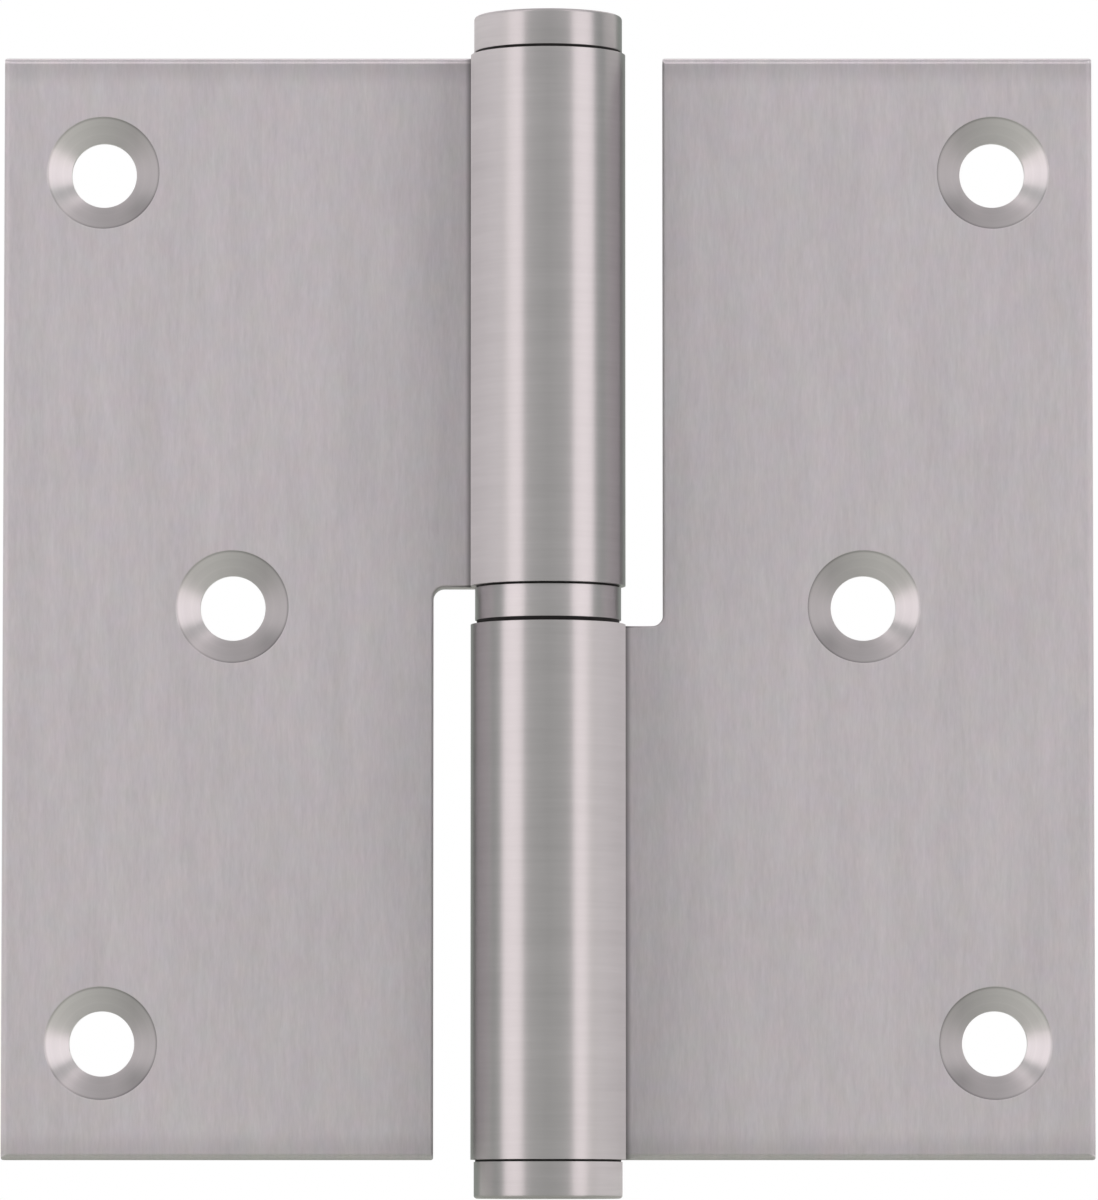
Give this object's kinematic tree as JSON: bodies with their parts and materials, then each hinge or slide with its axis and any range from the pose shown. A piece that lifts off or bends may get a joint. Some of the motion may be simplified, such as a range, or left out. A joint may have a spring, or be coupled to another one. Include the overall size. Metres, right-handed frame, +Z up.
{
  "type": "lift-off hinge",
  "caption": "Flat lift-off door hinge with countersunk steel leaves rolled into stacked barrels; the upper leaf swings on a fixed pin over a bearing ring and lifts off it.",
  "frame": {"origin": "on the pin's axis, halfway up the barrel, which is the middle of the hinge lying open and flat", "axes": "+Z up along the pin, +X towards the leaf that carries the pin, -Y out of the countersunk faces of both leaves"},
  "size_m": [0.0988, 0.014, 0.107],
  "materials": {
    "brushed_leaf": "satin, brushed along the leaf and round the barrel",
    "turned_steel": "satin, turned and brushed round the axis",
    "ground_pin": "ground bright"
  },
  "bodies": {
    "frame_side": {"lower_leaf": "brushed_leaf", "hinge_pin": "ground_pin", "bottom_cap": "turned_steel"},
    "ring": {"bearing_ring": "turned_steel"},
    "door_side": {"upper_leaf": "brushed_leaf", "top_cap": "turned_steel"}
  },
  "joints": [
    {"name": "swing", "type": "hinge", "parent": "frame_side", "child": "ring", "pos_m": [0, 0, 0], "axis": [0, 0, 1], "range_deg": [-90, 180]},
    {"name": "lift_off", "type": "slide", "parent": "ring", "child": "door_side", "axis": [0, 0, 1], "range_m": [0, 0.04]}
  ]
}
